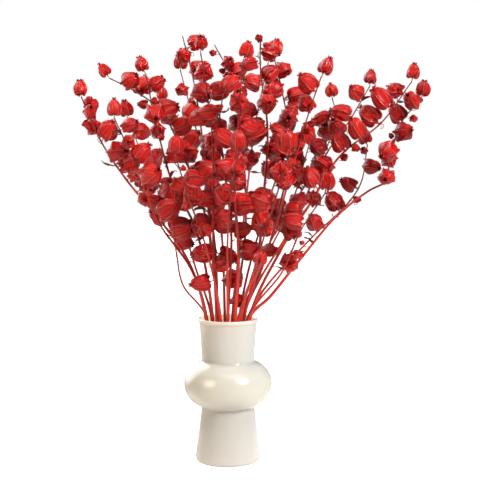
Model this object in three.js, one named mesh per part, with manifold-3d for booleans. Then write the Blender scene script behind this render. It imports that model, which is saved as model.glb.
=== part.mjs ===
// Dried lantern sprigs standing in a bulged vase. Millimetres, +Z up, the vase standing at the origin.
import * as THREE from 'three';
import { mergeVertices } from 'three/addons/utils/BufferGeometryUtils.js';
import Module from 'manifold-3d';

// Vase
const vaseHeight = 205;
const footRadius = 46.6;
const footEdge = 5;
const waistRadius = 37.6;
const bulgeCentre = [25, 111];
const bulgeRound = 37.8;
const bulgeFlattening = 0.91;
const mouthRadius = 42.8;
const wall = 2.9;
const floorThickness = 8;
const vaseSides = 36;

// Stems
const floorGap = 1;
const floorSpread = 0.86;
const mouthLevel = 202;
const tipRadius = 0.75;
const stemSides = 5;
const stemSteps = 10;

// Lanterns, the papery husks
const lanternRadius = 14.2;
const lanternLength = 30;
const tipShrink = 0.3;
const stalkRadius = 0.9;
const stalkLength = 5;
const turnPerLantern = 2.4;
const gathering = 1.2;
const tipLift = 1.1;
const fullLean = 0.6;
const upperBias = 0.75;
const lowestLantern = 209;
const clearGap = 0.8;
const ownGap = 0.3;
const turnsTried = 13;
const sizesTried = 3;
const sizeStep = 0.84;

// Each sprig: name, cut end radius, lanterns, where they begin and end, place in the mouth, path above it.
// Lanterns that end at 1 have their last one on the tip of the stem. Path heights are from the foot edge.
const sprigRows = [
  ['left_long', 3.3, 12, 0.6, 1, [-31, -3],
    [[-55, -10, 280], [-95, -15, 340], [-140, -20, 395], [-175, -30, 450], [-200, -40, 510]]],
  ['left_bowed', 2.2, 5, 0.75, 1, [-30, 11],
    [[-65, 20, 245], [-75, 35, 290], [-85, 50, 345], [-110, 70, 405]]],
  ['left_front', 2.9, 8, 0.65, 1, [-29, -15],
    [[-50, -30, 270], [-95, -50, 340], [-120, -70, 410], [-150, -90, 480]]],
  ['left_dark', 2.6, 7, 0.65, 1, [-24, 20],
    [[-45, 40, 260], [-75, 60, 345], [-120, 85, 415], [-150, 100, 485]]],
  ['left_rising', 3.1, 8, 0.6, 1, [-21, -12],
    [[-45, -30, 330], [-75, -40, 390], [-95, -55, 465], [-110, -65, 540]]],
  ['left_arching', 2.9, 10, 0.5, 1, [-14, -17],
    [[-25, -25, 350], [-55, -30, 415], [-90, -40, 490], [-130, -40, 520], [-160, -45, 535]]],
  ['tall_bare', 2.8, 9, 0.65, 0.97, [-14, 10],
    [[-25, 15, 310], [-35, 25, 440], [-50, 30, 540], [-65, 35, 600]]],
  ['tall_slim', 2.5, 10, 0.45, 1, [-16, -28],
    [[-20, -45, 315], [-20, -70, 450], [-30, -85, 535], [-35, -90, 565]]],
  ['middle_near', 3.2, 10, 0.4, 1, [0, -23],
    [[5, -55, 330], [-5, -85, 420], [-10, -100, 480], [-5, -110, 510]]],
  ['middle_far', 2.8, 9, 0.7, 0.94, [10, 12],
    [[25, 30, 325], [20, 50, 450], [5, 60, 540], [-20, 65, 590]]],
  ['middle_tall', 3.6, 12, 0.38, 0.97, [22, -10],
    [[40, -20, 270], [50, -25, 375], [55, -30, 465], [45, -35, 550], [45, -40, 595]]],
  ['middle_thick', 3.9, 9, 0.55, 1, [10, -31],
    [[15, -60, 295], [10, -100, 385], [15, -125, 475], [20, -145, 550]]],
  ['right_middle', 3.2, 7, 0.75, 1, [19, 3],
    [[50, 10, 275], [75, 15, 365], [90, 20, 440], [80, 20, 505], [65, 25, 570]]],
  ['right_long', 3.3, 11, 0.5, 1, [30, -9],
    [[75, -20, 300], [115, -30, 365], [155, -35, 430], [210, -45, 475], [250, -50, 530]]],
  ['right_bent', 3.4, 8, 0.8, 1, [29, 2],
    [[60, 5, 230], [100, 5, 280], [155, 10, 345], [200, 15, 380],
      [225, 15, 394], [228, 15, 412], [245, 20, 475], [275, 25, 510]]],
  ['right_low_front', 2.8, 8, 0.45, 1, [27, -19],
    [[75, -45, 270], [100, -70, 330], [130, -95, 380]]],
  ['right_short', 2.8, 7, 0.5, 1, [15, 21],
    [[55, 35, 295], [90, 55, 355], [120, 80, 450]]],
  ['right_front_high', 2.8, 6, 0.75, 1, [14, -14],
    [[60, -40, 315], [90, -60, 420], [110, -75, 490], [125, -85, 535]]],
  ['right_high', 2.8, 8, 0.6, 1, [21, 11],
    [[95, 30, 335], [140, 40, 430], [175, 50, 480], [205, 60, 530]]],
  ['right_back_high', 2.6, 6, 0.65, 1, [22, 20],
    [[85, 60, 340], [145, 95, 440], [160, 110, 490], [155, 115, 515]]],
  ['right_low_back', 2.8, 5, 0.7, 1, [28, 14],
    [[120, 45, 310], [170, 60, 355], [195, 75, 390], [205, 85, 445]]],
  ['back_left', 2.8, 5, 0.65, 1, [-15, 24],
    [[-35, 70, 345], [-70, 115, 440], [-100, 150, 510]]],
  ['back_middle_left', 2.8, 5, 0.7, 1, [-5, 28],
    [[-15, 85, 355], [-50, 140, 470], [-75, 175, 560]]],
  ['back_middle_right', 2.8, 5, 0.7, 1, [6, 29],
    [[25, 90, 355], [40, 145, 475], [60, 180, 570]]],
  ['back_right', 2.8, 5, 0.75, 1, [16, 28],
    [[55, 80, 350], [90, 130, 445], [110, 160, 520]]],
  ['front_left', 2.6, 6, 0.48, 1, [-9, -31],
    [[-30, -75, 310], [-50, -125, 375], [-65, -160, 430]]],
  ['front_middle', 2.9, 6, 0.46, 1, [0, -32],
    [[0, -85, 305], [5, -145, 380], [15, -185, 435]]],
  ['front_right', 2.6, 6, 0.48, 1, [18, -27],
    [[45, -75, 305], [65, -130, 380], [80, -165, 435]]],
];

const wasm = await Module();
wasm.setup();

const opalGlass = new THREE.MeshStandardMaterial({ color: 0xece3d2, roughness: 0.2, metalness: 0 });
const dyedSprig = new THREE.MeshStandardMaterial({ color: 0xb5161c, roughness: 0.7, metalness: 0 });

// A repeatable share from 0 to 1 for one sprig and one number
function share(sprig, number) {
  const wave = Math.sin(sprig * 12.9898 + number * 78.233) * 43758.5453;
  return wave - Math.floor(wave);
}

// Closed body from a geometry whose seams still hold doubled points
function bodyOf(geometry) {
  geometry.deleteAttribute('normal');
  geometry.deleteAttribute('uv');
  const welded = mergeVertices(geometry, 1e-4);
  const corners = [];
  for (let first = 0; first < welded.index.count; first += 3) {
    const face = [0, 1, 2].map((step) => welded.index.getX(first + step));
    if (new Set(face).size === 3) {
      corners.push(...face);
    }
  }
  return new wasm.Manifold(new wasm.Mesh({
    numProp: 3,
    vertProperties: new Float32Array(welded.attributes.position.array),
    triVerts: new Uint32Array(corners),
  }));
}

function meshOf(name, body, material) {
  const data = body.getMesh();
  const geometry = new THREE.BufferGeometry();
  geometry.setAttribute('position', new THREE.BufferAttribute(new Float32Array(data.vertProperties), 3));
  geometry.setIndex(new THREE.BufferAttribute(new Uint32Array(data.triVerts), 1));
  geometry.computeVertexNormals();
  const mesh = new THREE.Mesh(geometry, material);
  mesh.name = name;
  return mesh;
}

// Points of the bulge from one neck to the other, for the outer or the inner face
function bulgePoints(round, limit, steps) {
  const points = [];
  for (let step = 0; step <= steps; step += 1) {
    const angle = limit * (2 * step / steps - 1);
    const rise = round * bulgeFlattening * Math.sin(angle);
    points.push([bulgeCentre[0] + round * Math.cos(angle), bulgeCentre[1] + rise]);
  }
  return points;
}

function vaseBody() {
  const outside = [
    [0, 0],
    [footRadius - 5.3, 0],
    [footRadius - 1.8, 1.5],
    [footRadius, footEdge],
    [waistRadius + 0.3, 77.6],
    ...bulgePoints(bulgeRound, 1.21, 9),
    [waistRadius - 0.3, 144.6],
    [waistRadius + 0.6, 160],
    [mouthRadius - 1.6, vaseHeight - 6],
    [mouthRadius, vaseHeight - 2],
    [mouthRadius - 0.7, vaseHeight],
  ];
  const inside = [
    [0, floorThickness],
    [footRadius - wall - 4, floorThickness],
    [footRadius - wall - 1.2, floorThickness + 4],
    ...bulgePoints(bulgeRound - wall, 1.29, 6),
    [mouthRadius - 1.6 - wall, vaseHeight - 6],
    [mouthRadius - 3, vaseHeight],
  ];
  const stops = [...outside, ...inside.reverse()];
  const profile = stops.map(([radius, level]) => new THREE.Vector2(radius, level));
  return bodyOf(new THREE.LatheGeometry(profile, vaseSides).rotateX(Math.PI / 2));
}

// Centre line of a stem from the vase floor through the mouth to its tip
function growStem([, radius, , , , mouth, path]) {
  const spread = mouth.map((value) => value * floorSpread);
  const raised = path.map(([x, y, height]) => [x, y, height + footEdge]);
  const stops = [[...spread, floorThickness + floorGap], [...mouth, mouthLevel], ...raised];
  const curve = new THREE.CatmullRomCurve3(stops.map((stop) => new THREE.Vector3(...stop)));
  const points = curve.getSpacedPoints(stemSteps);
  const radii = points.map((point, step) => radius + (tipRadius - radius) * step / stemSteps);
  return { curve, points, radii };
}

function stemBody({ curve, points, radii }) {
  const geometry = new THREE.CylinderGeometry(tipRadius, radii[0], 1, stemSides, stemSteps);
  const position = geometry.attributes.position;
  for (let index = 0; index < position.count; index += 1) {
    const along = position.getY(index) + 0.5;
    const tangent = curve.getTangentAt(along);
    const side = new THREE.Vector3().crossVectors(tangent, new THREE.Vector3(0, 1, 0)).normalize();
    const rise = new THREE.Vector3().crossVectors(side, tangent);
    const place = points[Math.round(along * stemSteps)].clone();
    place.addScaledVector(side, position.getX(index)).addScaledVector(rise, position.getZ(index));
    position.setXYZ(index, place.x, place.y, place.z);
  }
  return bodyOf(geometry);
}

// One lantern on its stalk: root on the stem, base where the husk begins, and the husk's core line
function makeLantern(row, number, stem, order, attempt, shrink) {
  const [, , count, first, last] = row;
  const ripe = order / (count - 1);
  const along = (last - (last - first) * (1 - ripe) ** gathering) * stemSteps;
  const step = Math.min(Math.floor(along), stemSteps - 1);
  const root = stem.points[step].clone().lerp(stem.points[step + 1], along - step);
  const tangent = stem.points[step + 1].clone().sub(stem.points[step]).normalize();
  const upper = new THREE.Vector3(0, 0, 1).addScaledVector(tangent, -tangent.z).normalize();
  const side = new THREE.Vector3().crossVectors(tangent, upper);
  const lean = Math.min(1, Math.hypot(tangent.x, tangent.y) / fullLean);
  const sway = Math.ceil(attempt / 2) * (attempt % 2 ? 0.5 : -0.5);
  const round = number + order * turnPerLantern + sway;
  const turn = Math.atan2(Math.sin(round), Math.cos(round)) * (1 - upperBias * lean);
  const lift = along === stemSteps ? tipLift : share(number, order + 20) * 1.1 - 0.55;
  const axis = upper.multiplyScalar(Math.cos(turn)).addScaledVector(side, Math.sin(turn));
  axis.multiplyScalar(Math.cos(lift)).addScaledVector(tangent, Math.sin(lift));
  const size = (1 - tipShrink * ripe ** 4) * (0.84 + 0.3 * share(number, order + 50)) * shrink;
  const radius = lanternRadius * size;
  const length = lanternLength * size * (0.92 + 0.16 * share(number, order + 80));
  const stalk = stem.radii[step] + stalkLength * (0.7 + share(number, order + 110));
  const base = root.clone().addScaledVector(axis, stalk);
  const near = base.clone().addScaledVector(axis, 0.3 * length);
  const far = base.clone().addScaledVector(axis, Math.max(0.3 * length, length - 0.8 * radius));
  return { root, axis, radius, length, stalk, base, near, far, spin: share(number, order + 140) * 6.28 };
}

// Shortest distance between two straight lines given by their ends
function apart(startA, endA, startB, endB) {
  const alongA = endA.clone().sub(startA);
  const alongB = endB.clone().sub(startB);
  const between = startA.clone().sub(startB);
  const lengthA = Math.max(alongA.lengthSq(), 1e-9);
  const lengthB = Math.max(alongB.lengthSq(), 1e-9);
  const shared = alongA.dot(alongB);
  const slipA = alongA.dot(between);
  const slipB = alongB.dot(between);
  const spread = lengthA * lengthB - shared * shared;
  let atA = spread > 1e-9 ? THREE.MathUtils.clamp((shared * slipB - slipA * lengthB) / spread, 0, 1) : 0;
  let atB = (shared * atA + slipB) / lengthB;
  if (atB < 0 || atB > 1) {
    atB = THREE.MathUtils.clamp(atB, 0, 1);
    atA = THREE.MathUtils.clamp((shared * atB - slipA) / lengthA, 0, 1);
  }
  return startA.clone().addScaledVector(alongA, atA).distanceTo(startB.clone().addScaledVector(alongB, atB));
}

// Room left between a new lantern and a stem, or between two lanterns
function roomToStem(lantern, stem) {
  let room = Infinity;
  for (let step = 0; step < stemSteps; step += 1) {
    const ends = [stem.points[step], stem.points[step + 1]];
    room = Math.min(room, apart(lantern.near, lantern.far, ...ends) - lantern.radius - stem.radii[step]);
    room = Math.min(room, apart(lantern.root, lantern.base, ...ends) - stalkRadius - stem.radii[step]);
  }
  return room;
}

function roomToLantern(one, two) {
  return Math.min(
    apart(one.near, one.far, two.near, two.far) - one.radius - two.radius,
    apart(one.near, one.far, two.root, two.base) - one.radius - stalkRadius,
    apart(one.root, one.base, two.near, two.far) - stalkRadius - two.radius,
    apart(one.root, one.base, two.root, two.base) - 2 * stalkRadius,
  );
}

function hasRoom(lantern, number, stems, grown) {
  if (Math.min(lantern.near.z, lantern.far.z) - lantern.radius < lowestLantern) {
    return false;
  }
  const clearOfStems = stems.every((stem, other) => other === number || roomToStem(lantern, stem) > clearGap);
  return clearOfStems && grown.every((lanterns, other) => lanterns.every(
    (placed) => roomToLantern(lantern, placed) > (other === number ? ownGap : clearGap),
  ));
}

// Lanterns up each stem, turned or made smaller where a neighbour stands in the way
function growLanterns(stems) {
  const grown = sprigRows.map(() => []);
  sprigRows.forEach((row, number) => {
    for (let order = 0; order < row[2]; order += 1) {
      for (let attempt = 0; attempt < turnsTried * sizesTried; attempt += 1) {
        const shrink = sizeStep ** Math.floor(attempt / turnsTried);
        const lantern = makeLantern(row, number, stems[number], order, attempt % turnsTried, shrink);
        if (hasRoom(lantern, number, stems, grown)) {
          grown[number].push(lantern);
          break;
        }
      }
    }
  });
  return grown;
}

function lanternBody({ root, axis, radius, length, stalk, spin }) {
  const profile = [
    [0, 0],
    [stalkRadius, 0],
    [stalkRadius, stalk],
    [radius, stalk + 0.34 * length],
    [0.62 * radius, stalk + 0.86 * length],
    [0, stalk + 0.97 * length],
  ];
  const geometry = new THREE.LatheGeometry(profile.map((stop) => new THREE.Vector2(...stop)), 5, spin);
  geometry.applyQuaternion(new THREE.Quaternion().setFromUnitVectors(new THREE.Vector3(0, 1, 0), axis));
  return bodyOf(geometry.translate(root.x, root.y, root.z));
}

const bouquet = new THREE.Group();
bouquet.name = 'lantern_bouquet';
bouquet.add(meshOf('vase', vaseBody(), opalGlass));
const stems = sprigRows.map(growStem);
const grown = growLanterns(stems);
sprigRows.forEach(([name], number) => {
  const body = wasm.Manifold.union([stemBody(stems[number]), ...grown[number].map(lanternBody)]);
  bouquet.add(meshOf(`sprig_${name}`, body, dyedSprig));
});

export default bouquet;
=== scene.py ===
import math

import bpy
import numpy as np
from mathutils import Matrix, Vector


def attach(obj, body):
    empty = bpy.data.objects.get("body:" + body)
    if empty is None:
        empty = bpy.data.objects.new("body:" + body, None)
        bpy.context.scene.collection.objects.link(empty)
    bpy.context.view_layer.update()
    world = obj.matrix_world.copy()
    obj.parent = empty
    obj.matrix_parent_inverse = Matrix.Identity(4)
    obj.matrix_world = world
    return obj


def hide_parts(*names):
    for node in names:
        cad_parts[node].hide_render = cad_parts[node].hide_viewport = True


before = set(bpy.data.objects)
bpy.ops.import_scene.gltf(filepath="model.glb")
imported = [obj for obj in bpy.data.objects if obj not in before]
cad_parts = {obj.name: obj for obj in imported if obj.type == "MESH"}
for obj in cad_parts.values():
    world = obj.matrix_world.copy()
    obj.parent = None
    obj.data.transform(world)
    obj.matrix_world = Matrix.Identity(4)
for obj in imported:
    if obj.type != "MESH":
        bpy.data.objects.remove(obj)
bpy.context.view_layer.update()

# Lengths are millimetres, as in the CAD source, and MM turns them to Blender's metres.
# Only the places and sizes of the lights are metres as they stand.
MM = 0.001
BODY = "root"
# A full turn in radians, rounded as in the CAD source
FULL_TURN = 6.28

# Stems: where the cut ends stand, and the taper to the tip
FLOOR_LEVEL = 9
FLOOR_SPREAD = 0.86
MOUTH_LEVEL = 202
FOOT_EDGE = 5
TIP_RADIUS = 0.75
STEM_STEPS = 10

# Lanterns: the papery husks and how they are set along a stem
LANTERN_RADIUS = 14.2
LANTERN_LENGTH = 30
TIP_SHRINK = 0.3
SMALL_SIZE = 0.84
SIZE_RANGE = 0.3
SHORT_LENGTH = 0.92
LENGTH_RANGE = 0.16
STALK_RADIUS = 0.9
STALK_LENGTH = 5
SHORT_STALK = 0.7
TURN_PER_LANTERN = 2.4
SWAY = 0.5
GATHERING = 1.2
TIP_LIFT = 1.1
LIFT_RANGE = 1.1
LOWEST_LIFT = -0.55
FULL_LEAN = 0.6
UPPER_BIAS = 0.75
CORE_START = 0.3
CORE_END = 0.8
LOWEST_LANTERN = 209
CLEAR_GAP = 0.8
OWN_GAP = 0.3
TURNS_TRIED = 13
SIZES_TRIED = 3
SIZE_STEP = 0.84

# Small late husks near the tips, with numbers past the lanterns' own
BUDS_TRIED = 5
BUD_SEED = 7
FIRST_BUD = 100
BUD_ALONG = (0.72, 0.99)
BUD_LEAN = (-0.2, 0.9)
BUD_SIZE = (0.24, 0.46)
BUD_STALK = (4, 9)
BUD_CORE_END = 0.6

# Which repeatable share each choice takes. Lift to spin are the CAD source's own numbers.
LIFT_DRAW = 20
SIZE_DRAW = 50
LENGTH_DRAW = 80
STALK_DRAW = 110
SPIN_DRAW = 140
WIDTH_DRAW = 200
DEPTH_DRAW = 230
KIND_DRAW = 40
TONE_DRAW = 80
SPRIG_STRIDE = 12.9898
NUMBER_STRIDE = 78.233
WAVE_HEIGHT = 43758.5453

# Each sprig: name, cut end radius, lanterns, where they begin and end, place in the mouth, path above it.
# Lanterns that end at 1 have their last one on the tip of the stem. Path heights are from the foot edge.
SPRIGS = [
    ("left_long", 3.3, 12, 0.6, 1, (-31, -3),
     [(-55, -10, 280), (-95, -15, 340), (-140, -20, 395), (-175, -30, 450), (-200, -40, 510)]),
    ("left_bowed", 2.2, 5, 0.75, 1, (-30, 11),
     [(-65, 20, 245), (-75, 35, 290), (-85, 50, 345), (-110, 70, 405)]),
    ("left_front", 2.9, 8, 0.65, 1, (-29, -15),
     [(-50, -30, 270), (-95, -50, 340), (-120, -70, 410), (-150, -90, 480)]),
    ("left_dark", 2.6, 7, 0.65, 1, (-24, 20),
     [(-45, 40, 260), (-75, 60, 345), (-120, 85, 415), (-150, 100, 485)]),
    ("left_rising", 3.1, 8, 0.6, 1, (-21, -12),
     [(-45, -30, 330), (-75, -40, 390), (-95, -55, 465), (-110, -65, 540)]),
    ("left_arching", 2.9, 10, 0.5, 1, (-14, -17),
     [(-25, -25, 350), (-55, -30, 415), (-90, -40, 490), (-130, -40, 520), (-160, -45, 535)]),
    ("tall_bare", 2.8, 9, 0.65, 0.97, (-14, 10),
     [(-25, 15, 310), (-35, 25, 440), (-50, 30, 540), (-65, 35, 600)]),
    ("tall_slim", 2.5, 10, 0.45, 1, (-16, -28),
     [(-20, -45, 315), (-20, -70, 450), (-30, -85, 535), (-35, -90, 565)]),
    ("middle_near", 3.2, 10, 0.4, 1, (0, -23),
     [(5, -55, 330), (-5, -85, 420), (-10, -100, 480), (-5, -110, 510)]),
    ("middle_far", 2.8, 9, 0.7, 0.94, (10, 12),
     [(25, 30, 325), (20, 50, 450), (5, 60, 540), (-20, 65, 590)]),
    ("middle_tall", 3.6, 12, 0.38, 0.97, (22, -10),
     [(40, -20, 270), (50, -25, 375), (55, -30, 465), (45, -35, 550), (45, -40, 595)]),
    ("middle_thick", 3.9, 9, 0.55, 1, (10, -31),
     [(15, -60, 295), (10, -100, 385), (15, -125, 475), (20, -145, 550)]),
    ("right_middle", 3.2, 7, 0.75, 1, (19, 3),
     [(50, 10, 275), (75, 15, 365), (90, 20, 440), (80, 20, 505), (65, 25, 570)]),
    ("right_long", 3.3, 11, 0.5, 1, (30, -9),
     [(75, -20, 300), (115, -30, 365), (155, -35, 430), (210, -45, 475), (250, -50, 530)]),
    ("right_bent", 3.4, 8, 0.8, 1, (29, 2),
     [(60, 5, 230), (100, 5, 280), (155, 10, 345), (200, 15, 380),
      (225, 15, 394), (228, 15, 412), (245, 20, 475), (275, 25, 510)]),
    ("right_low_front", 2.8, 8, 0.45, 1, (27, -19),
     [(75, -45, 270), (100, -70, 330), (130, -95, 380)]),
    ("right_short", 2.8, 7, 0.5, 1, (15, 21),
     [(55, 35, 295), (90, 55, 355), (120, 80, 450)]),
    ("right_front_high", 2.8, 6, 0.75, 1, (14, -14),
     [(60, -40, 315), (90, -60, 420), (110, -75, 490), (125, -85, 535)]),
    ("right_high", 2.8, 8, 0.6, 1, (21, 11),
     [(95, 30, 335), (140, 40, 430), (175, 50, 480), (205, 60, 530)]),
    ("right_back_high", 2.6, 6, 0.65, 1, (22, 20),
     [(85, 60, 340), (145, 95, 440), (160, 110, 490), (155, 115, 515)]),
    ("right_low_back", 2.8, 5, 0.7, 1, (28, 14),
     [(120, 45, 310), (170, 60, 355), (195, 75, 390), (205, 85, 445)]),
    ("back_left", 2.8, 5, 0.65, 1, (-15, 24),
     [(-35, 70, 345), (-70, 115, 440), (-100, 150, 510)]),
    ("back_middle_left", 2.8, 5, 0.7, 1, (-5, 28),
     [(-15, 85, 355), (-50, 140, 470), (-75, 175, 560)]),
    ("back_middle_right", 2.8, 5, 0.7, 1, (6, 29),
     [(25, 90, 355), (40, 145, 475), (60, 180, 570)]),
    ("back_right", 2.8, 5, 0.75, 1, (16, 28),
     [(55, 80, 350), (90, 130, 445), (110, 160, 520)]),
    ("front_left", 2.6, 6, 0.48, 1, (-9, -31),
     [(-30, -75, 310), (-50, -125, 375), (-65, -160, 430)]),
    ("front_middle", 2.9, 6, 0.46, 1, (0, -32),
     [(0, -85, 305), (5, -145, 380), (15, -185, 435)]),
    ("front_right", 2.6, 6, 0.48, 1, (18, -27),
     [(45, -75, 305), (65, -130, 380), (80, -165, 435)]),
]


# Growth rule, the same as the CAD solids follow

def share(sprig, number):
    """A repeatable share from 0 to 1 for one sprig and one number."""
    wave = math.sin(sprig * SPRIG_STRIDE + number * NUMBER_STRIDE) * WAVE_HEIGHT
    return wave - math.floor(wave)


def unit(vector):
    return vector / np.linalg.norm(vector)


def curve_point(stops, along):
    """Point of a centripetal Catmull-Rom curve through the stops, along running from 0 to 1."""
    last = len(stops) - 1
    place = last * along
    index = min(math.floor(place), last - 1)
    weight = place - index
    start, end = stops[index], stops[index + 1]
    before = stops[index - 1] if index > 0 else 2 * start - end
    after = stops[index + 2] if index + 2 <= last else 2 * end - start
    step_in, step, step_out = (math.sqrt(np.linalg.norm(b - a))
                               for a, b in ((before, start), (start, end), (end, after)))
    leave = (start - before) / step_in - (end - before) / (step_in + step) + (end - start) / step
    arrive = (end - start) / step - (after - start) / (step + step_out) + (after - end) / step_out
    leave, arrive = leave * step, arrive * step
    square = -3 * start + 3 * end - 2 * leave - arrive
    cube = 2 * start - 2 * end + leave + arrive
    return start + leave * weight + square * weight ** 2 + cube * weight ** 3


def spaced_points(stops, steps):
    """Points at equal distances along the curve."""
    fine = 200
    points = np.array([curve_point(stops, index / fine) for index in range(fine + 1)])
    lengths = np.concatenate([[0], np.cumsum(np.linalg.norm(np.diff(points, axis=0), axis=1))])
    spaced = []
    for step in range(steps + 1):
        target = lengths[-1] * step / steps
        index = min(int(np.searchsorted(lengths, target, side="right")) - 1, fine - 1)
        part = (target - lengths[index]) / (lengths[index + 1] - lengths[index])
        spaced.append(curve_point(stops, (index + part) / fine))
    return np.array(spaced)


def grow_stem(sprig):
    _, radius, _, _, _, mouth, path = sprig
    foot = (mouth[0] * FLOOR_SPREAD, mouth[1] * FLOOR_SPREAD, FLOOR_LEVEL)
    raised = [(x, y, height + FOOT_EDGE) for x, y, height in path]
    stops = np.array([foot, (*mouth, MOUTH_LEVEL), *raised], float)
    radii = radius + (TIP_RADIUS - radius) * np.arange(STEM_STEPS + 1) / STEM_STEPS
    return {"stops": stops, "points": spaced_points(stops, STEM_STEPS), "radii": radii}


def place_lantern(sprig, number, stem, order, attempt, shrink):
    """One lantern: root on the stem, base where the husk begins, near and far ends of its core."""
    _, _, count, first, last, _, _ = sprig
    ripe = order / (count - 1)
    along = (last - (last - first) * (1 - ripe) ** GATHERING) * STEM_STEPS
    step = min(math.floor(along), STEM_STEPS - 1)
    low, high = stem["points"][step], stem["points"][step + 1]
    root = low + (high - low) * (along - step)
    tangent = unit(high - low)
    upper = unit(np.array([0.0, 0.0, 1.0]) - tangent * tangent[2])
    side = np.cross(tangent, upper)
    lean = min(1, math.hypot(tangent[0], tangent[1]) / FULL_LEAN)
    sway = math.ceil(attempt / 2) * (SWAY if attempt % 2 else -SWAY)
    turned = number + order * TURN_PER_LANTERN + sway
    turn = math.atan2(math.sin(turned), math.cos(turned)) * (1 - UPPER_BIAS * lean)
    lift = share(number, order + LIFT_DRAW) * LIFT_RANGE + LOWEST_LIFT
    if along == STEM_STEPS:
        lift = TIP_LIFT
    axis = (upper * math.cos(turn) + side * math.sin(turn)) * math.cos(lift) + tangent * math.sin(lift)
    grown = SMALL_SIZE + SIZE_RANGE * share(number, order + SIZE_DRAW)
    size = (1 - TIP_SHRINK * ripe ** 4) * grown * shrink
    radius = LANTERN_RADIUS * size
    length = LANTERN_LENGTH * size * (SHORT_LENGTH + LENGTH_RANGE * share(number, order + LENGTH_DRAW))
    stalk = stem["radii"][step] + STALK_LENGTH * (SHORT_STALK + share(number, order + STALK_DRAW))
    base = root + axis * stalk
    return {
        "sprig": number, "order": order, "along": along / STEM_STEPS, "axis": axis,
        "radius": radius, "length": length, "root": root, "base": base,
        "near": base + axis * CORE_START * length,
        "far": base + axis * max(CORE_START * length, length - CORE_END * radius),
        "spin": share(number, order + SPIN_DRAW) * FULL_TURN,
    }


def apart(start, end, starts, ends):
    """Shortest distances between one straight line and many, each given by its ends."""
    along, alongs, between = end - start, ends - starts, start - starts
    length = max(along @ along, 1e-9)
    lengths = np.maximum((alongs * alongs).sum(axis=1), 1e-9)
    shared, slip, slips = alongs @ along, between @ along, (alongs * between).sum(axis=1)
    spread = length * lengths - shared * shared
    slanted = spread > 1e-9
    nearest = (shared * slips - slip * lengths) / np.where(slanted, spread, 1)
    at = np.where(slanted, np.clip(nearest, 0, 1), 0)
    ats = (shared * at + slips) / lengths
    outside = (ats < 0) | (ats > 1)
    ats = np.clip(ats, 0, 1)
    at = np.where(outside, np.clip((shared * ats - slip) / length, 0, 1), at)
    return np.linalg.norm(start + along * at[:, None] - starts - alongs * ats[:, None], axis=1)


def has_room(lantern, chords, placed):
    """True if a lantern is clear of the other stems and of the lanterns placed before it."""
    if min(lantern["near"][2], lantern["far"][2]) - lantern["radius"] < LOWEST_LANTERN:
        return False
    core = lantern["near"], lantern["far"]
    stalk = lantern["root"], lantern["base"]
    other = chords["sprig"] != lantern["sprig"]
    starts, ends, radii = chords["start"][other], chords["end"][other], chords["radius"][other]
    for line, radius in ((core, lantern["radius"]), (stalk, STALK_RADIUS)):
        if (apart(*line, starts, ends) - radius - radii).min() <= CLEAR_GAP:
            return False
    if not placed:
        return True
    near, far, root, base = (
        np.array([one[key] for one in placed]) for key in ("near", "far", "root", "base"))
    radii = np.array([one["radius"] for one in placed])
    gaps = np.array([OWN_GAP if one["sprig"] == lantern["sprig"] else CLEAR_GAP for one in placed])
    room = np.minimum.reduce([
        apart(*core, near, far) - lantern["radius"] - radii,
        apart(*core, root, base) - lantern["radius"] - STALK_RADIUS,
        apart(*stalk, near, far) - STALK_RADIUS - radii,
        apart(*stalk, root, base) - 2 * STALK_RADIUS,
    ])
    return bool((room > gaps).all())


def stem_chords(stems):
    """The straight pieces of all the stems, with their radius and the sprig they belong to."""
    return {
        "start": np.concatenate([stem["points"][:-1] for stem in stems]),
        "end": np.concatenate([stem["points"][1:] for stem in stems]),
        "radius": np.concatenate([stem["radii"][:-1] for stem in stems]),
        "sprig": np.repeat(np.arange(len(stems)), STEM_STEPS),
    }


def grow_lanterns(stems):
    """Lanterns up each stem, turned or made smaller where a neighbour stands in the way."""
    chords = stem_chords(stems)
    placed = []
    for number, sprig in enumerate(SPRIGS):
        for order in range(sprig[2]):
            for attempt in range(TURNS_TRIED * SIZES_TRIED):
                shrink = SIZE_STEP ** (attempt // TURNS_TRIED)
                lantern = place_lantern(sprig, number, stems[number], order, attempt % TURNS_TRIED, shrink)
                if has_room(lantern, chords, placed):
                    placed.append(lantern)
                    break
    return placed


def grow_buds(stems, lanterns):
    """Small late husks near the tips that dried before they filled, where there is room for them."""
    chords, placed = stem_chords(stems), list(lanterns)
    random = np.random.default_rng(BUD_SEED)
    buds = []
    for number, stem in enumerate(stems):
        for order in range(BUDS_TRIED):
            along = random.uniform(*BUD_ALONG)
            place = along * STEM_STEPS
            step = min(int(place), STEM_STEPS - 1)
            low, high = stem["points"][step], stem["points"][step + 1]
            root = low + (high - low) * (place - step)
            tangent = unit(high - low)
            axis = unit(np.cross(tangent, random.normal(size=3)))
            axis = unit(axis + tangent * random.uniform(*BUD_LEAN))
            size = random.uniform(*BUD_SIZE)
            base = root + axis * random.uniform(*BUD_STALK)
            length = LANTERN_LENGTH * size
            bud = {
                "sprig": number, "order": FIRST_BUD + order, "along": along, "axis": axis,
                "radius": LANTERN_RADIUS * size, "length": length, "root": root, "base": base,
                "near": base + axis * CORE_START * length, "far": base + axis * BUD_CORE_END * length,
                "spin": random.uniform(0, FULL_TURN),
            }
            if has_room(bud, chords, placed):
                placed.append(bud)
                buds.append(bud)
    return buds


# Husk shape: papery sepals drawn for radius and length 1, five to a lantern

SEPALS = 5
ACROSS = np.array([-1, -0.95, -0.84, -0.66, -0.44, -0.22, 0, 0.22, 0.44, 0.66, 0.84, 0.95, 1])
ALONG = np.linspace(0, 1, 25)
PAPER_THICKNESS = 0.4
LEAF_THICKNESS = 0.45
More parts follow.
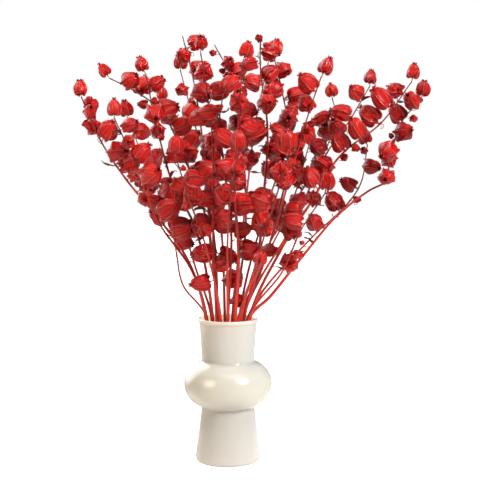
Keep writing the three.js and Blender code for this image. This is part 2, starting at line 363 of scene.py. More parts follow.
# Out from the stalk and up towards the tips: along the keels, and along the middle of each sepal
KEEL_LINE = np.array([(0.06, 0.06), (0.34, -0.10), (0.76, -0.08), (1.02, 0.12), (1.04, 0.36),
                      (0.86, 0.61), (0.54, 0.81), (0.19, 0.93), (0.16, 0.97)])
MIDRIB_LINE = np.array([(0.06, 0.06), (0.31, 0.0), (0.62, 0.02), (0.83, 0.17), (0.87, 0.40),
                        (0.76, 0.64), (0.49, 0.84), (0.09, 0.96), (0.2, 1.05)])
HUSK_KINDS = 18
# How far the tips of a husk stand apart, from nearly shut to a star
OPENINGS = [0.02, 0.1, 0.22, 0.05, 0.16, 0.32, 0.04, 0.18, 0.45]
# How a sepal is drawn out, its lengths in shares of the lantern's radius and length
SEPAL_HALF_ANGLE = 35.6
SEPAL_TWIST = 0.02
KEEL_SHARPNESS = 3.2
GROWTH_RATE = 5
BELLY = (-0.07, 0.05)
FLARE_START = 0.66
FLARE_REACH = 0.34
FLARE_RANGE = (-0.02, 0.04)
FLARE_OUT = 0.75
FLARE_DOWN = 0.22
QUILT_ROWS = 2.6
QUILT_SLANT = 1.7
QUILT_DEPTH = 0.026
CREASES = 6
CREASE_WAVES = (0.5, 3.2)
CREASE_SLOPE = 1.8
CREASE_DEPTH = (0.006, 0.018)
DENTS = 2
DENT_ALONG = (0.25, 0.8)
DENT_ACROSS = 0.7
DENT_LONG = 0.018
DENT_WIDE = 0.09
DENT_DEPTH = 0.11
SLACK_DENT = 0.14
POINT_START = 0.87
POINT_REACH = 0.13
POINT_CURVE = 1.2
POINT_NARROWING = 0.85
SEPAL_OVERLAP = 1.02


def sepal_points(random, open_wide, slack):
    """Outer points of one sepal, its creases and dents drawn from the random source."""
    keel = np.array([curve_point(KEEL_LINE, along) for along in ALONG])[:, None, :]
    midrib = np.array([curve_point(MIDRIB_LINE, along) for along in ALONG])[:, None, :]
    signed = ACROSS[None, :]
    across, along = np.abs(signed), ALONG[:, None]
    line = midrib + (keel - midrib) * (across ** KEEL_SHARPNESS)[:, :, None]
    out, up = line[:, :, 0].copy(), line[:, :, 1].copy()
    grown = np.minimum(1, GROWTH_RATE * along)
    out *= 1 + random.uniform(*BELLY) * (1 - across ** 2) * grown
    tip = np.clip((along - FLARE_START) / FLARE_REACH, 0, 1)
    flare = tip ** 2 * (open_wide + random.uniform(*FLARE_RANGE))
    out += FLARE_OUT * flare
    up -= FLARE_DOWN * flare
    quilt = np.sin(2 * math.pi * (QUILT_ROWS * along - QUILT_SLANT * across)) * across * (1 - across) * 4
    out += QUILT_DEPTH * quilt * grown
    for _ in range(CREASES):
        waves = random.uniform(*CREASE_WAVES)
        slope = random.uniform(-CREASE_SLOPE, CREASE_SLOPE)
        phase = random.uniform(0, FULL_TURN)
        crease = np.sin(2 * math.pi * (waves * along + slope * signed * 0.5) + phase)
        out += random.uniform(*CREASE_DEPTH) * (1 + slack) * crease * grown
    for _ in range(DENTS):
        dent_along = random.uniform(*DENT_ALONG)
        dent_across = random.uniform(-DENT_ACROSS, DENT_ACROSS)
        dent = np.exp(-((along - dent_along) ** 2 / DENT_LONG + (signed - dent_across) ** 2 / DENT_WIDE))
        out -= random.uniform(0.0, DENT_DEPTH + SLACK_DENT * slack) * dent * grown
    pointed = np.clip((along - POINT_START) / POINT_REACH, 0, 1) ** POINT_CURVE
    narrowing = SEPAL_OVERLAP - POINT_NARROWING * pointed
    twist = random.uniform(-SEPAL_TWIST, SEPAL_TWIST)
    angle = signed * math.radians(SEPAL_HALF_ANGLE) * narrowing + twist
    return np.stack([out * np.cos(angle), out * np.sin(angle), up], axis=2)


def shell_faces(rows, columns):
    """Quads of a closed thin shell: outer sheet, inner sheet and the rim between them, rim faces last."""
    grid = np.arange(rows * columns).reshape(rows, columns)
    corner = grid[:-1, :-1], grid[:-1, 1:], grid[1:, 1:], grid[1:, :-1]
    outer = np.stack([part.ravel() for part in corner], axis=1)
    inner = outer[:, ::-1] + rows * columns
    border = np.concatenate([grid[0, :-1], grid[:-1, -1], grid[-1, :0:-1], grid[:0:-1, 0]])
    following = np.roll(border, -1)
    rim = np.stack([following, border, border + rows * columns, following + rows * columns], axis=1)
    return np.concatenate([outer, inner, rim]), len(rim)


def husk_kind(seed):
    """A whole husk of five sepals: points, quads, rim flags, sepal coordinates and inside flags."""
    random = np.random.default_rng(seed)
    open_wide = OPENINGS[seed % len(OPENINGS)]
    slack = random.random() ** 2
    rows, columns = len(ALONG), len(ACROSS)
    quads, rim_count = shell_faces(rows, columns)
    points, faces = [], []
    for sepal in range(SEPALS):
        outer = sepal_points(random, open_wide, slack)
        run, rise = np.gradient(outer, axis=1), np.gradient(outer, axis=0)
        normal = np.cross(run, rise)
        normal /= np.linalg.norm(normal, axis=2, keepdims=True) + 1e-9
        inner = outer - normal * PAPER_THICKNESS / LANTERN_RADIUS
        sheet = np.concatenate([outer.reshape(-1, 3), inner.reshape(-1, 3)])
        angle = 2 * math.pi * sepal / SEPALS
        cosine, sine = math.cos(angle), math.sin(angle)
        turn = np.array([[cosine, -sine, 0], [sine, cosine, 0], [0, 0, 1]])
        points.append(sheet @ turn.T)
        faces.append(quads + sepal * len(sheet))
    sheet_uv = np.stack([np.tile(ACROSS * 0.5 + 0.5, rows), np.repeat(ALONG, columns)], axis=1)
    inside = np.repeat([0.0, 1.0], rows * columns)
    rim = np.arange(len(quads)) >= len(quads) - rim_count
    return {
        "points": np.concatenate(points), "faces": np.concatenate(faces), "rim": np.tile(rim, SEPALS),
        "uv": np.tile(sheet_uv, (2 * SEPALS, 1)), "inside": np.tile(inside, SEPALS),
    }


# Mesh helpers

# Slanting directions to start a ring or a turn from
RING_START = (0.31, 0.92, 0.17)
TURN_START = (0.43, 0.71, 0.56)
END_NARROWING = 0.3


def make_piece(name, points, faces, material, node=None, flat=None, uv=None, values=None):
    """A mesh in the CAD frame from points in millimetres and quads, in place of its node if it has one."""
    mesh = bpy.data.meshes.new(name)
    mesh.vertices.add(len(points))
    mesh.vertices.foreach_set("co", (np.asarray(points) * MM).astype(np.float32).ravel())
    mesh.loops.add(faces.size)
    mesh.loops.foreach_set("vertex_index", faces.astype(np.int32).ravel())
    mesh.polygons.add(len(faces))
    mesh.polygons.foreach_set("loop_start", np.arange(0, faces.size, faces.shape[1], dtype=np.int32))
    smooth = np.ones(len(faces), bool) if flat is None else ~flat
    mesh.polygons.foreach_set("use_smooth", smooth)
    if uv is not None:
        layer = mesh.uv_layers.new(name="sheet")
        layer.data.foreach_set("uv", uv[faces.ravel()].astype(np.float32).ravel())
    for key, numbers in (values or {}).items():
        mesh.attributes.new(key, "FLOAT", "POINT").data.foreach_set("value", numbers.astype(np.float32))
    mesh.update(calc_edges=True)
    mesh.materials.append(material)
    piece = bpy.data.objects.new(name, mesh)
    bpy.context.scene.collection.objects.link(piece)
    if node:
        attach(piece, BODY)
        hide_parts(node)
    return piece


def tube(line, radii, sides, ribs=0.0):
    """Points and quads of a closed tube along a line of points, with ribs as a share of the radius."""
    line, radii = np.asarray(line), np.asarray(radii)
    tangents = np.gradient(line, axis=0)
    tangents /= np.linalg.norm(tangents, axis=1, keepdims=True)
    across = unit(np.cross(tangents[0], RING_START))
    rings = []
    angles = 2 * math.pi * np.arange(sides) / sides
    for point, tangent, radius in zip(line, tangents, radii):
        across = unit(across - tangent * (across @ tangent))
        over = np.cross(tangent, across)
        reach = radius * (1 + ribs * np.cos(angles * sides / 2))
        ring = np.outer(reach * np.cos(angles), across) + np.outer(reach * np.sin(angles), over)
        rings.append(point + ring)
    rings = [np.tile(line[0], (sides, 1)) + (rings[0] - line[0]) * END_NARROWING, *rings,
             np.tile(line[-1], (sides, 1)) + (rings[-1] - line[-1]) * END_NARROWING]
    count = len(rings)
    grid = np.arange(count * sides).reshape(count, sides)
    after = np.roll(grid, -1, axis=1)
    quads = np.stack([grid[:-1], after[:-1], after[1:], grid[1:]], axis=2).reshape(-1, 4)
    pairs = sides // 2
    low = [[grid[0, -1 - k], grid[0, -2 - k], grid[0, 1 + k], grid[0, k]] for k in range(pairs - 1)]
    high = [[grid[-1, k], grid[-1, 1 + k], grid[-1, -2 - k], grid[-1, -1 - k]] for k in range(pairs - 1)]
    return np.concatenate(rings), np.concatenate([quads, np.array(low), np.array(high)])


class Heap:
    """Gathers points, quads and per-point numbers of many small shapes for one mesh."""

    def __init__(self):
        self.points, self.faces, self.values, self.size = [], [], {}, 0

    def add(self, points, faces, **values):
        self.points.append(points)
        self.faces.append(faces + self.size)
        self.size += len(points)
        for key, number in values.items():
            self.values.setdefault(key, []).append(np.broadcast_to(number, len(points)))

    def joined(self):
        values = {key: np.concatenate(parts) for key, parts in self.values.items()}
        return np.concatenate(self.points), np.concatenate(self.faces), values


# Materials

# Sockets of a mix node that is set to colours
FACTOR = 0
FIRST = 6
SECOND = 7
RESULT = 2
# Husk paper: veins as shares of a sepal, and the size of its patterns in millimetres
VEIN_ROWS = 4.5
VEIN_SLANT = -3.0
VEIN_WIDTH = 0.2
MIDRIB_WIDTH = 0.09
NET_MESH = 3.0
NET_WIDTH = 0.12
NET_STRENGTH = 0.22
DYE_PATCH = 9.0
DYE_SWING = 0.55
# Strength of the painted shade in the fold beside each keel
PAINTED_CREASE_SHADE = 0.7
# Strength of the painted highlight along each keel
PAINTED_KEEL_HIGHLIGHT = 0.5
CRUMPLE = 1.5
CRUMPLE_HEIGHT = 0.45
VEIN_HEIGHT = 0.8
PAPER_GLOW = 0.24
# Stem: the width of its streaks in millimetres, and that width as a share of their length
STREAK = 1.2
STREAK_STRETCH = 0.12
STREAK_SWING = 0.6
STREAK_HEIGHT = 0.3
# Opal glass: how far light soaks in, in millimetres
SOAKING = 16
# Studio sweep: how bright it is seen, and how far its clean middle reaches, in millimetres
FLOOR_BURN = 0.88
CLEAN_REACH = 150
DULL_REACH = 450


def linear(code):
    """Linear colour with alpha from an sRGB hex code."""
    parts = [int(code[start:start + 2], 16) / 255 for start in (1, 3, 5)]
    return (*[part / 12.92 if part <= 0.04045 else ((part + 0.055) / 1.055) ** 2.4 for part in parts], 1)


def add_node(tree, kind, settings=None, links=None):
    """Adds a node, sets its properties or sockets, and links its inputs from other nodes' outputs."""
    node = tree.nodes.new(kind)
    for key, value in (settings or {}).items():
        if isinstance(key, str) and hasattr(node, key):
            setattr(node, key, value)
        else:
            node.inputs[key].default_value = value
    for key, (source, output) in (links or {}).items():
        tree.links.new(source.outputs[output], node.inputs[key])
    return node


def new_material(name):
    material = bpy.data.materials.new(name)
    material.use_nodes = True
    material.node_tree.nodes.clear()
    return material, material.node_tree


def finish_material(tree, surface, output=0):
    end = add_node(tree, "ShaderNodeOutputMaterial")
    tree.links.new(surface.outputs[output], end.inputs["Surface"])


def dyed_husk_paper():
    """Dried husk dyed red: thin satin paper, its veins a shade darker and raised, each husk its own depth."""
    material, tree = new_material("dyed dried husk paper")
    sheet = add_node(tree, "ShaderNodeUVMap", {"uv_map": "sheet"})
    parts = add_node(tree, "ShaderNodeSeparateXYZ", links={0: (sheet, 0)})
    centred = add_node(
        tree, "ShaderNodeMath", {"operation": "MULTIPLY_ADD", 1: 2.0, 2: -1.0}, {0: (parts, "X")})
    across = add_node(tree, "ShaderNodeMath", {"operation": "ABSOLUTE"}, {0: (centred, 0)})
    climb = add_node(tree, "ShaderNodeMath", {"operation": "MULTIPLY", 1: VEIN_ROWS}, {0: (parts, "Y")})
    slant = add_node(
        tree, "ShaderNodeMath", {"operation": "MULTIPLY_ADD", 1: VEIN_SLANT},
        {0: (across, 0), 2: (climb, 0)})
    repeat = add_node(tree, "ShaderNodeMath", {"operation": "PINGPONG", 1: 0.5}, {0: (slant, 0)})
    laterals = add_node(
        tree, "ShaderNodeMapRange",
        {"interpolation_type": "SMOOTHSTEP", "From Max": VEIN_WIDTH, "To Min": 1.0, "To Max": 0.0},
        {"Value": (repeat, 0)})
    midrib = add_node(
        tree, "ShaderNodeMapRange",
        {"interpolation_type": "SMOOTHSTEP", "From Max": MIDRIB_WIDTH, "To Min": 1.0, "To Max": 0.0},
        {"Value": (across, 0)})
    # A net of small veins lies between the large ones
    place = add_node(tree, "ShaderNodeTexCoord")
    net = add_node(
        tree, "ShaderNodeTexVoronoi", {"feature": "DISTANCE_TO_EDGE", "Scale": 1 / (NET_MESH * MM)},
        {"Vector": (place, "Object")})
    net_lines = add_node(
        tree, "ShaderNodeMapRange",
        {"interpolation_type": "SMOOTHSTEP", "From Max": NET_WIDTH, "To Min": NET_STRENGTH, "To Max": 0.0},
        {"Value": (net, "Distance")})
    big_veins = add_node(tree, "ShaderNodeMath", {"operation": "MAXIMUM"}, {0: (laterals, 0), 1: (midrib, 0)})
    veins = add_node(tree, "ShaderNodeMath", {"operation": "MAXIMUM"}, {0: (big_veins, 0), 1: (net_lines, 0)})
    # Dye takes unevenly, in patches
    patches = add_node(
        tree, "ShaderNodeTexNoise", {"Scale": 1 / (DYE_PATCH * MM), "Detail": 4.0, "Roughness": 0.6},
        {"Vector": (place, "Object")})
    tone = add_node(tree, "ShaderNodeAttribute", {"attribute_name": "tone"})
    depth = add_node(
        tree, "ShaderNodeMath", {"operation": "MULTIPLY_ADD", 1: DYE_SWING, 2: -DYE_SWING / 2},
        {0: (patches, "Fac")})
    dye = add_node(tree, "ShaderNodeMath", {"operation": "ADD"}, {0: (tone, "Fac"), 1: (depth, 0)})
    ramp = add_node(tree, "ShaderNodeValToRGB", links={0: (dye, 0)})
    stops = ramp.color_ramp.elements
    stops[0].position = 0.0
    stops[0].color = linear("#860204")
    stops[1].position = 1.0
    stops[1].color = linear("#d42416")
    middle = stops.new(0.45)
    middle.color = linear("#ba0707")
    veined = add_node(
        tree, "ShaderNodeMix", {"data_type": "RGBA", "blend_type": "MULTIPLY", SECOND: linear("#d8a8a0")},
        {FACTOR: (veins, 0), FIRST: (ramp, 0)})
    # Painted shade darkens the fold beside each keel, and a painted highlight makes the keel itself paler
    fold = add_node(
        tree, "ShaderNodeMapRange",
        {"interpolation_type": "SMOOTHSTEP", "From Min": 0.45, "From Max": 0.85, "To Max": PAINTED_CREASE_SHADE},
        {"Value": (across, 0)})
    crease_shaded = add_node(
        tree, "ShaderNodeMix", {"data_type": "RGBA", "blend_type": "MULTIPLY", SECOND: linear("#b89090")},
        {FACTOR: (fold, 0), FIRST: (veined, RESULT)})
    # Painted highlight: each keel is painted paler
    keel = add_node(
        tree, "ShaderNodeMapRange",
        {"interpolation_type": "SMOOTHSTEP", "From Min": 0.86, "From Max": 0.97, "To Max": PAINTED_KEEL_HIGHLIGHT},
        {"Value": (across, 0)})
    keel_highlighted = add_node(
        tree, "ShaderNodeMix", {"data_type": "RGBA", SECOND: linear("#ee5c54")},
        {FACTOR: (keel, 0), FIRST: (crease_shaded, RESULT)})
    # Painted shade: the inner face of the husk is darkened and duller
    inside = add_node(tree, "ShaderNodeAttribute", {"attribute_name": "inside"})
    shaded = add_node(
        tree, "ShaderNodeMix", {"data_type": "RGBA", "blend_type": "MULTIPLY", SECOND: linear("#d8c0c0")},
        {FACTOR: (inside, "Fac"), FIRST: (keel_highlighted, RESULT)})
    # The dry paper is finely crumpled between its raised veins
    crumple = add_node(
        tree, "ShaderNodeTexNoise", {"Scale": 1 / (CRUMPLE * MM), "Detail": 3.0},
        {"Vector": (place, "Object")})
    relief = add_node(
        tree, "ShaderNodeMath", {"operation": "MULTIPLY_ADD", 1: CRUMPLE_HEIGHT},
        {0: (crumple, "Fac"), 2: (veins, 0)})
    bump = add_node(
        tree, "ShaderNodeBump", {"Strength": 0.85, "Distance": VEIN_HEIGHT * MM}, {"Height": (relief, 0)})
    paper = add_node(
        tree, "ShaderNodeBsdfPrincipled", {"Roughness": 0.2, "IOR": 1.48, "Specular IOR Level": 0.4},
        {"Base Color": (shaded, RESULT), "Normal": (bump, 0)})
    glow = add_node(
        tree, "ShaderNodeBsdfTranslucent", links={"Color": (shaded, RESULT), "Normal": (bump, 0)})
    sheet_mix = add_node(tree, "ShaderNodeMixShader", {0: PAPER_GLOW}, {1: (paper, 0), 2: (glow, 0)})
    finish_material(tree, sheet_mix)
    return material


def dyed_dry_stem():
    """Dried woody stem dyed brick red: dull, streaked along its length, the thin twigs almost black."""
    material, tree = new_material("dyed dried stem")
    place = add_node(tree, "ShaderNodeTexCoord")
    stretched = add_node(
        tree, "ShaderNodeMapping", {"Scale": (1, 1, STREAK_STRETCH)}, {"Vector": (place, "Object")})
    streaks = add_node(
        tree, "ShaderNodeTexNoise", {"Scale": 1 / (STREAK * MM), "Detail": 4.0}, {"Vector": (stretched, 0)})
    shade = add_node(tree, "ShaderNodeAttribute", {"attribute_name": "shade"})
    swing = add_node(
        tree, "ShaderNodeMath", {"operation": "MULTIPLY_ADD", 1: STREAK_SWING, 2: -STREAK_SWING / 2},
        {0: (streaks, "Fac")})
    dye = add_node(tree, "ShaderNodeMath", {"operation": "ADD"}, {0: (shade, "Fac"), 1: (swing, 0)})
    ramp = add_node(tree, "ShaderNodeValToRGB", links={0: (dye, 0)})
    stops = ramp.color_ramp.elements
    stops[0].position = 0.0
    stops[0].color = linear("#2c0709")
    stops[1].position = 1.0
    stops[1].color = linear("#b83226")
    middle = stops.new(0.5)
    middle.color = linear("#8e130f")
    bump = add_node(
        tree, "ShaderNodeBump", {"Strength": 0.5, "Distance": STREAK_HEIGHT * MM},
        {"Height": (streaks, "Fac")})
    bark = add_node(
        tree, "ShaderNodeBsdfPrincipled", {"Roughness": 0.45, "IOR": 1.5, "Specular IOR Level": 0.3},
        {"Base Color": (ramp, 0), "Normal": (bump, 0)})
    finish_material(tree, bark)
    return material


def opal_glass():
    """Blown opal glass: creamy and opaque with light soaking in, a smooth fire-polished gloss over it."""
    material, tree = new_material("cream opal glass")
    place = add_node(tree, "ShaderNodeTexCoord")
    level = add_node(tree, "ShaderNodeSeparateXYZ", links={0: (place, "Object")})
    height = add_node(tree, "ShaderNodeMapRange", {"From Max": VASE_HEIGHT * MM}, {"Value": (level, "Z")})
    ramp = add_node(tree, "ShaderNodeValToRGB", links={0: (height, 0)})
    stops = ramp.color_ramp.elements
    stops[0].position = 0.30
    stops[0].color = linear("#93908b")
    stops[1].position = 0.75
    stops[1].color = linear("#a4a19a")
    middle = stops.new(0.5)
    middle.color = linear("#a09d92")
    # Painted light: the inner face is painted paler, standing in for the light that soaks through the wall
    # and comes out there
    inside = add_node(tree, "ShaderNodeAttribute", {"attribute_name": "inside"})
    faces = add_node(
        tree, "ShaderNodeMix", {"data_type": "RGBA", SECOND: linear("#fbeed2")},
        {FACTOR: (inside, "Fac"), FIRST: (ramp, 0)})
    glass = add_node(
        tree, "ShaderNodeBsdfPrincipled",
        {"Roughness": 0.16, "IOR": 1.5, "Subsurface Weight": 0.9,
         "Subsurface Radius": (1.0, 0.85, 0.65), "Subsurface Scale": SOAKING * MM},
        {"Base Color": (faces, RESULT)})
    finish_material(tree, glass)
    return material


def studio_floor():
    """Matt white studio sweep: seen burnt out to white, while the light that it gives back stays softer."""
    material, tree = new_material("matt white sweep")
    seen = add_node(tree, "ShaderNodeLightPath")
    burnt = add_node(
        tree, "ShaderNodeMath", {"operation": "MULTIPLY", 1: FLOOR_BURN}, {0: (seen, "Is Camera Ray")})
    # The middle of the sweep is clean and gives light back, its outer part is duller
    place = add_node(tree, "ShaderNodeTexCoord")
    away = add_node(tree, "ShaderNodeVectorMath", {"operation": "LENGTH"}, {0: (place, "Object")})
    dull = add_node(
        tree, "ShaderNodeMapRange", {"From Min": CLEAN_REACH * MM, "From Max": DULL_REACH * MM},
        {"Value": (away, "Value")})
    tone = add_node(
        tree, "ShaderNodeMix", {"data_type": "RGBA", FIRST: linear("#f6f3ee"), SECOND: linear("#a09f9d")},
        {FACTOR: (dull, 0)})
    paint = add_node(
        tree, "ShaderNodeBsdfPrincipled", {"Roughness": 0.8, "Emission Color": linear("#ffffff")},
        {"Base Color": (tone, RESULT), "Emission Strength": (burnt, 0)})
    finish_material(tree, paint)
    return material


# Vase

VASE_HEIGHT = 205
FOOT_RADIUS = 46.6
WAIST_RADIUS = 37.6
BULGE_CENTRE = (25, 111)
BULGE_ROUND = 37.8
BULGE_FLATTENING = 0.91
MOUTH_RADIUS = 42.8
WALL = 2.9
FLOOR_THICKNESS = 8
BELOW_BULGE = 77.6
ABOVE_BULGE = 144.6
NECK_LEVEL = 160
# Half of the angle that the bulge's round spans, outside and inside the wall
OUTER_SPAN = 1.21
INNER_SPAN = 1.29
CORNER_REACH = 1.6
VASE_SIDES = 128


def bulge_line(around, limit, steps):
    """Points of the bulge from its lower crease to its upper one."""
    angles = np.linspace(-limit, limit, steps)
    rise = around * BULGE_FLATTENING
    return [(BULGE_CENTRE[0] + around * math.cos(angle), BULGE_CENTRE[1] + rise * math.sin(angle))
            for angle in angles]


def rounded(line, reach, steps=4):
    """The line with each corner between its ends rounded off over the given reach."""
    line = [np.array(point, float) for point in line]
    done = [line[0]]
    for before, corner, after in zip(line, line[1:], line[2:]):
        run_in, run_out = np.linalg.norm(corner - before), np.linalg.norm(after - corner)
        start = corner + (before - corner) * min(0.45, reach / run_in)
        end = corner + (after - corner) * min(0.45, reach / run_out)
        for step in range(steps + 1):
            part = step / steps
            done.append((1 - part) ** 2 * start + 2 * part * (1 - part) * corner + part ** 2 * end)
    return np.array(done + [line[-1]])


def make_vase(material):
    outside = [(1, 0), (FOOT_RADIUS - 5.3, 0), (FOOT_RADIUS - 1.8, 1.5), (FOOT_RADIUS, FOOT_EDGE),
               (WAIST_RADIUS + 0.3, BELOW_BULGE),
               *bulge_line(BULGE_ROUND, OUTER_SPAN, 26),
               (WAIST_RADIUS - 0.3, ABOVE_BULGE), (WAIST_RADIUS + 0.6, NECK_LEVEL),
               (MOUTH_RADIUS - 2.1, VASE_HEIGHT - 8.5), (MOUTH_RADIUS - 1.9, VASE_HEIGHT - 6.5),
               (MOUTH_RADIUS - 0.2, VASE_HEIGHT - 4.8), (MOUTH_RADIUS, VASE_HEIGHT - 2),
               (MOUTH_RADIUS - 0.7, VASE_HEIGHT)]
    inside = [(1, FLOOR_THICKNESS), (FOOT_RADIUS - WALL - 4, FLOOR_THICKNESS),
              (FOOT_RADIUS - WALL - 1.2, FLOOR_THICKNESS + 4),
              *bulge_line(BULGE_ROUND - WALL, INNER_SPAN, 18),
              (MOUTH_RADIUS - 1.6 - WALL, VASE_HEIGHT - 6), (MOUTH_RADIUS - 3, VASE_HEIGHT)]
    line = rounded([*outside, *inside[::-1]], CORNER_REACH)
    angles = 2 * math.pi * np.arange(VASE_SIDES) / VASE_SIDES
    ring = np.stack([np.cos(angles), np.sin(angles), np.zeros(VASE_SIDES)], axis=1)
    points = np.concatenate([ring * radius + (0, 0, level) for radius, level in line])
    count = len(line)
    grid = np.arange(count * VASE_SIDES).reshape(count, VASE_SIDES)
    after = np.roll(grid, -1, axis=1)
    quads = np.stack([grid[:-1], after[:-1], after[1:], grid[1:]], axis=2).reshape(-1, 4)
    pairs = range(VASE_SIDES // 2 - 1)
    under = [[grid[0, -1 - k], grid[0, -2 - k], grid[0, 1 + k], grid[0, k]] for k in pairs]
    floor = [[grid[-1, k], grid[-1, 1 + k], grid[-1, -2 - k], grid[-1, -1 - k]] for k in pairs]
    lip = max(range(count), key=lambda index: line[index][1])
    within = np.repeat(np.arange(count) > lip + 2, VASE_SIDES)
    piece = make_piece("vase_glass", points, np.concatenate([quads, under, floor]), material, "vase",
                       values={"inside": within})


# Sprigs

STEM_SEED = 1000
STEM_DETAIL = 110
STEM_SIDES = 10
STEM_RIBS = 0.06
KNOT_HEIGHT = 0.5
KNOT_REACH = 0.006
# Shade of the dye: 0 is almost black, 1 is the palest brick red
STEM_SHADE = 0.76
SHADE_RANGE = (-0.1, 0.08)
TIP_DARKENING = 0.6
STALK_SHADE = 0.34
STALK_SHADE_RANGE = 0.25
SCRAP_SHADE = (0.02, 0.3)
TWIG_SIDES = 6
STALK_SAG = -0.12
STALK_INTO_HUSK = 0.06
FULL_STALK_RADIUS = 11
STALK_SHAPE = np.array([1.0, 0.85, 0.75, 0.75, 0.85, 1.1, 1.5])
# Dried scraps on each stem, none of them rooted lower than this
LOWEST_SCRAP = 275
SCRAPS = ["curl"] * 4 + ["twig"] * 3 + ["leaf"] * 2
LAST_SCRAP = 0.97
SCRAP_LEAN = (0.1, 0.9)
CURL_LENGTH = (13, 24)
CURL_WINDING = (4, 9)
CURL_RADII = (0.5, 0.28)
TWIG_LENGTH = (6, 15)
TWIG_WINDING = (-0.9, 0.9)
TWIG_RADII = (0.85, 0.5)
LEAF_LENGTH = (14, 30)
LEAF_WINDING = (-2.2, 2.2)
LEAF_WIDTH = (1.8, 3.6)
LEAF_COLUMNS = 7
LEAF_FOLD = 0.75
LEAF_CRUMPLE = 0.25
# Husks: how wide and deep each is drawn, and how light its dye is
HUSK_WIDE = 1.02
HUSK_WIDE_RANGE = 0.07
HUSK_DEEP = 0.93
HUSK_DEEP_RANGE = 0.09
DARKEST_TONE = 0.32
TONE_RANGE = 0.42


def bent_line(start, out, rise, length, winding):
    """Centre line that leaves a stem along out and winds over towards rise, tighter to its end."""
    steps = 20
    angles = winding * (np.arange(steps) / steps) ** 2
    strides = (np.outer(np.cos(angles), out) + np.outer(np.sin(angles), rise)) * length / steps
    return start + np.concatenate([np.zeros((1, 3)), np.cumsum(strides, axis=0)])


def leaf_scrap(line, side, width, random):
    """Points and quads of a shrivelled leaf along a line: a thin shell folded up along its middle."""
    across = np.linspace(-1, 1, LEAF_COLUMNS)
    part = np.linspace(0, 1, len(line))[:, None]
    half = width * np.sin(math.pi * np.clip(part, 0.04, 0.97) ** 0.8)
    tangents = np.gradient(line, axis=0)
    over = np.cross(side, tangents / np.linalg.norm(tangents, axis=1, keepdims=True))
    crumple = np.sin(9 * part + 3 * across + random.uniform(0, FULL_TURN)) * LEAF_CRUMPLE
    fold = half * (LEAF_FOLD * np.abs(across) + crumple)
    outer = line[:, None, :] + (half * across)[:, :, None] * side + fold[:, :, None] * over[:, None, :]
    normal = np.cross(np.gradient(outer, axis=1), np.gradient(outer, axis=0))
    normal /= np.linalg.norm(normal, axis=2, keepdims=True) + 1e-9
    inner = outer - normal * LEAF_THICKNESS
    faces, _ = shell_faces(len(line), len(across))
    return np.concatenate([outer.reshape(-1, 3), inner.reshape(-1, 3)]), faces


def stem_heap(number, sprig, stem, lanterns):
    """Stem, stalks, curls, broken twigs and leaf scraps of one sprig."""
    heap = Heap()
    random = np.random.default_rng(STEM_SEED + number)
    line = spaced_points(stem["stops"], STEM_DETAIL)
    part = np.arange(STEM_DETAIL + 1) / STEM_DETAIL
    radii = sprig[1] + (TIP_RADIUS - sprig[1]) * part
    for lantern in lanterns:
        knot = np.exp(-((part - lantern["along"]) / KNOT_REACH) ** 2)
        radii = radii + KNOT_HEIGHT * (1 - 0.5 * part) * knot
    shade = np.clip(STEM_SHADE + random.uniform(*SHADE_RANGE) - TIP_DARKENING * part ** 3, 0.1, 1)
    points, faces = tube(line, radii, STEM_SIDES, STEM_RIBS)
    ring_shade = np.repeat(np.concatenate([shade[:1], shade, shade[-1:]]), STEM_SIDES)
    heap.add(points, faces, shade=ring_shade)
    for lantern in lanterns:
        start, end, axis = lantern["root"], lantern["base"], lantern["axis"]
        inner = end + axis * STALK_INTO_HUSK * lantern["length"]
        sag = np.array([0, 0, STALK_SAG * np.linalg.norm(inner - start)])
        stalk = np.array([start + (inner - start) * t + sag * 4 * t * (1 - t)
                          for t in np.linspace(0, 1, len(STALK_SHAPE))])
        thick = STALK_SHAPE * min(1, lantern["radius"] / FULL_STALK_RADIUS)
        points, faces = tube(stalk, thick, TWIG_SIDES)
        heap.add(points, faces, shade=STALK_SHADE + STALK_SHADE_RANGE * random.random())
    lowest = np.argmax(line[:, 2] > LOWEST_SCRAP) / STEM_DETAIL
    for kind in SCRAPS:
        index = int(random.uniform(lowest, LAST_SCRAP) * STEM_DETAIL)
        tangent = unit(line[index + 1] - line[index])
        out = unit(np.cross(tangent, random.normal(size=3)))
        out = unit(out + tangent * random.uniform(*SCRAP_LEAN))
        rise = unit(np.cross(np.cross(out, tangent), out))
        if kind == "curl":
            length = random.uniform(*CURL_LENGTH)
            winding = random.choice([-1, 1]) * random.uniform(*CURL_WINDING)
            growth = bent_line(line[index], out, rise, length, winding)
            points, faces = tube(growth, np.linspace(*CURL_RADII, len(growth)), TWIG_SIDES)
        elif kind == "twig":
            length = random.uniform(*TWIG_LENGTH)
            growth = bent_line(line[index], out, rise, length, random.uniform(*TWIG_WINDING))
            points, faces = tube(growth, np.linspace(*TWIG_RADII, len(growth)), TWIG_SIDES)
        else:
            length = random.uniform(*LEAF_LENGTH)
            growth = bent_line(line[index], out, rise, length, random.uniform(*LEAF_WINDING))
            points, faces = leaf_scrap(growth, np.cross(out, rise), random.uniform(*LEAF_WIDTH), random)
        heap.add(points, faces, shade=random.uniform(*SCRAP_SHADE))
    return heap


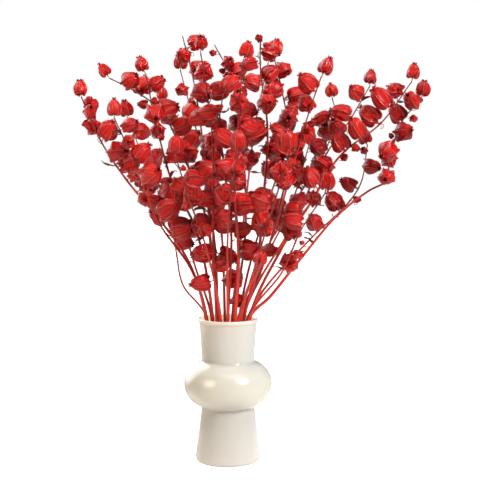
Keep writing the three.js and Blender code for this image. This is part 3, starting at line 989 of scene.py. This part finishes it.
def lantern_heap(lanterns, kinds):
    """All the husks of one sprig with their sepal coordinates."""
    heap, uvs, rims = Heap(), [], []
    for lantern in lanterns:
        sprig, order, axis, spin = (lantern[key] for key in ("sprig", "order", "axis", "spin"))
        kind = kinds[int(share(sprig + KIND_DRAW, order) * HUSK_KINDS)]
        side = unit(np.cross(axis, TURN_START))
        over = np.cross(axis, side)
        first = side * math.cos(spin) + over * math.sin(spin)
        second = np.cross(axis, first)
        wide = HUSK_WIDE + HUSK_WIDE_RANGE * share(sprig, order + WIDTH_DRAW)
        deep = HUSK_DEEP + HUSK_DEEP_RANGE * share(sprig, order + DEPTH_DRAW)
        scaled = kind["points"] * (lantern["radius"] * wide, lantern["radius"] * deep, lantern["length"])
        points = lantern["base"] + scaled @ np.stack([first, second, axis])
        tone = DARKEST_TONE + TONE_RANGE * share(sprig + TONE_DRAW, order)
        heap.add(points, kind["faces"], tone=tone, inside=kind["inside"])
        uvs.append(kind["uv"])
        rims.append(kind["rim"])
    return heap, np.concatenate(uvs), np.concatenate(rims)


def make_sprigs(paper, bark):
    stems = [grow_stem(sprig) for sprig in SPRIGS]
    lanterns = grow_lanterns(stems)
    lanterns += grow_buds(stems, lanterns)
    kinds = [husk_kind(seed) for seed in range(HUSK_KINDS)]
    for number, (sprig, stem) in enumerate(zip(SPRIGS, stems)):
        own = [lantern for lantern in lanterns if lantern["sprig"] == number]
        node = "sprig_" + sprig[0]
        points, faces, values = stem_heap(number, sprig, stem, own).joined()
        piece = make_piece(node + "_stem", points, faces, bark, node, values=values)
        heap, uv, rim = lantern_heap(own, kinds)
        points, faces, values = heap.joined()
        piece = make_piece(node + "_husks", points, faces, paper, node, rim, uv, values)


# Studio

CAMERA_PLACE = (17, -1700, 445)
CAMERA_DOWN = 4.34
LENS = 90.45
FLOOR_REACH = 6000
ROOM_LIGHT = 0.14
BACKDROP_LIGHT = 1.0
WHITE = (1, 1, 1, 1)


def area_light(name, place, aim, size, power, colour):
    """A softbox at a place in metres, turned towards its aim."""
    light = bpy.data.lights.new(name, "AREA")
    light.shape = "RECTANGLE"
    light.size = size[0]
    light.size_y = size[1]
    light.energy = power
    light.color = linear(colour)[:3]
    lamp = bpy.data.objects.new(name, light)
    lamp.location = place
    lamp.rotation_euler = (Vector(aim) - Vector(place)).to_track_quat("-Z", "Y").to_euler()
    bpy.context.scene.collection.objects.link(lamp)


def sun_light(name, source, power, spread):
    """Even light from one direction, softened as by a large screen of that spread in degrees."""
    light = bpy.data.lights.new(name, "SUN")
    light.energy = power
    light.angle = math.radians(spread)
    lamp = bpy.data.objects.new(name, light)
    lamp.rotation_euler = (-Vector(source)).to_track_quat("-Z", "Y").to_euler()
    bpy.context.scene.collection.objects.link(lamp)


def make_studio():
    """White sweep, burnt-out backdrop, lights and the photo's camera."""
    corners = np.array([(-1, -1, 0), (1, -1, 0), (1, 1, 0), (-1, 1, 0)]) * FLOOR_REACH
    floor = make_piece("studio_floor", corners, np.array([[0, 1, 2, 3]]), studio_floor())
    world = bpy.data.worlds.new("studio")
    world.use_nodes = True
    tree = world.node_tree
    tree.nodes.clear()
    # The backdrop is burnt out to white while the room light stays softer
    seen = add_node(tree, "ShaderNodeLightPath")
    room = add_node(tree, "ShaderNodeBackground", {"Color": WHITE, "Strength": ROOM_LIGHT})
    backdrop = add_node(tree, "ShaderNodeBackground", {"Color": WHITE, "Strength": BACKDROP_LIGHT})
    mixed = add_node(
        tree, "ShaderNodeMixShader", links={0: (seen, "Is Camera Ray"), 1: (room, 0), 2: (backdrop, 0)})
    add_node(tree, "ShaderNodeOutputWorld", links={"Surface": (mixed, 0)})
    bpy.context.scene.world = world
    sun_light("key light", source=(0.95, -0.95, 0.95), power=6.9, spread=22)
    sun_light("top light", source=(0.1, -0.2, 1.0), power=2.2, spread=45)
    sun_light("back light", source=(-0.8, 1.0, 0.5), power=3.6, spread=60)
    area_light("fill softbox", place=(-1.4, -1.2, 0.9), aim=(0, 0, 0.3), size=(1.0, 1.0), power=24,
               colour="#ffe2b8")
    camera = bpy.data.objects.new("camera", bpy.data.cameras.new("camera"))
    camera.data.lens = LENS
    camera.location = Vector(CAMERA_PLACE) * MM
    camera.rotation_euler = (math.radians(90 - CAMERA_DOWN), 0, 0)
    bpy.context.scene.collection.objects.link(camera)
    bpy.context.scene.camera = camera
    bpy.context.scene.view_settings.view_transform = "Standard"


make_vase(opal_glass())
make_sprigs(dyed_husk_paper(), dyed_dry_stem())
make_studio()
